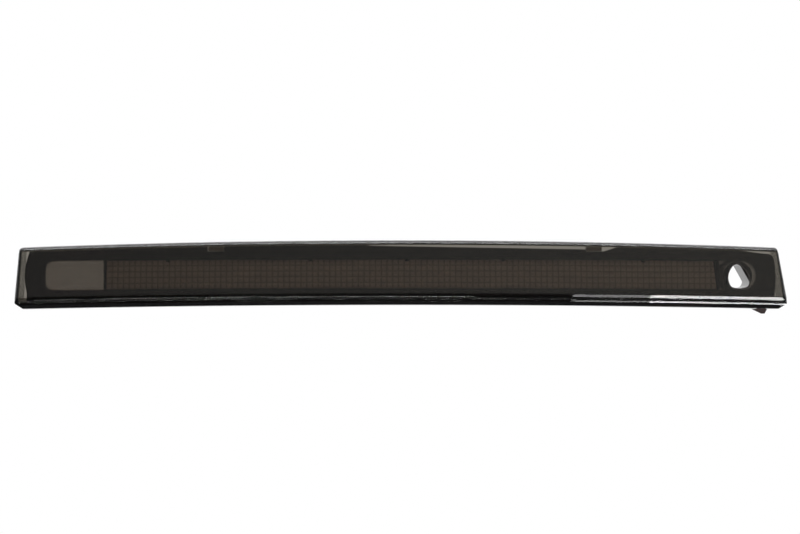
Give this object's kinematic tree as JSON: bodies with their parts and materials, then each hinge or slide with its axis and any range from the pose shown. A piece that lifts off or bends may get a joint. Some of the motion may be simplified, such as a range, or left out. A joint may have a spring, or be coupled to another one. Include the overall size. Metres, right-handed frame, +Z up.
{
  "type": "third brake light",
  "caption": "Long bowed high-level brake light with a smoked lens, pillow optics, LED board, sealed rear housing and a through tunnel for a washer nozzle.",
  "frame": {"origin": "midway between the two mounting studs, on the plane of their seats", "axes": "+X to the right as the lamp is seen from behind the vehicle, +Y into the tailgate along the studs, +Z up"},
  "size_m": [0.5, 0.056, 0.0479],
  "materials": {
    "smoked_lens": "polished smoke-tinted acrylic",
    "adhesive": "matt",
    "black_gloss": "gloss black",
    "clip_plastic": "satin tan",
    "clear_optic": "clear moulded acrylic",
    "seal_rubber": "matt",
    "housing_plastic": "fine texture",
    "board": "solder mask",
    "led_package": "white package",
    "chip_ceramic": "matt",
    "chip_black": "matt",
    "can_aluminium": "drawn can",
    "reflector_plastic": "satin",
    "screw_steel": "zinc plated",
    "stud_steel": "zinc plated",
    "connector_plastic": "satin",
    "blade_brass": "tinned brass",
    "gasket_foam": "closed-cell foam",
    "membrane": "matt white",
    "sleeve_plastic": "satin",
    "hook_plastic": "satin"
  },
  "bodies": {
    "root": {"outer_lens": "smoked_lens", "lens_adhesive": "adhesive", "bezel": "black_gloss", "bezel_clips": "clip_plastic", "optic_strip": "clear_optic", "end_optic": "clear_optic", "end_window": "clear_optic", "optic_seal": "seal_rubber", "rear_housing": "housing_plastic", "led_board": "board", "leds": "led_package", "resistors": "chip_ceramic", "diodes": "chip_black", "capacitors": "can_aluminium", "reflector": "reflector_plastic", "board_screws": "screw_steel", "mounting_studs": "stud_steel", "connector_socket": "connector_plastic", "contact_blades": "blade_brass", "connector_seal": "seal_rubber", "panel_gasket": "gasket_foam", "breather_cap": "connector_plastic", "breather_membrane": "membrane", "nozzle_sleeve": "sleeve_plastic", "nozzle_seal": "seal_rubber", "retaining_hook": "hook_plastic"}
  },
  "joints": []
}
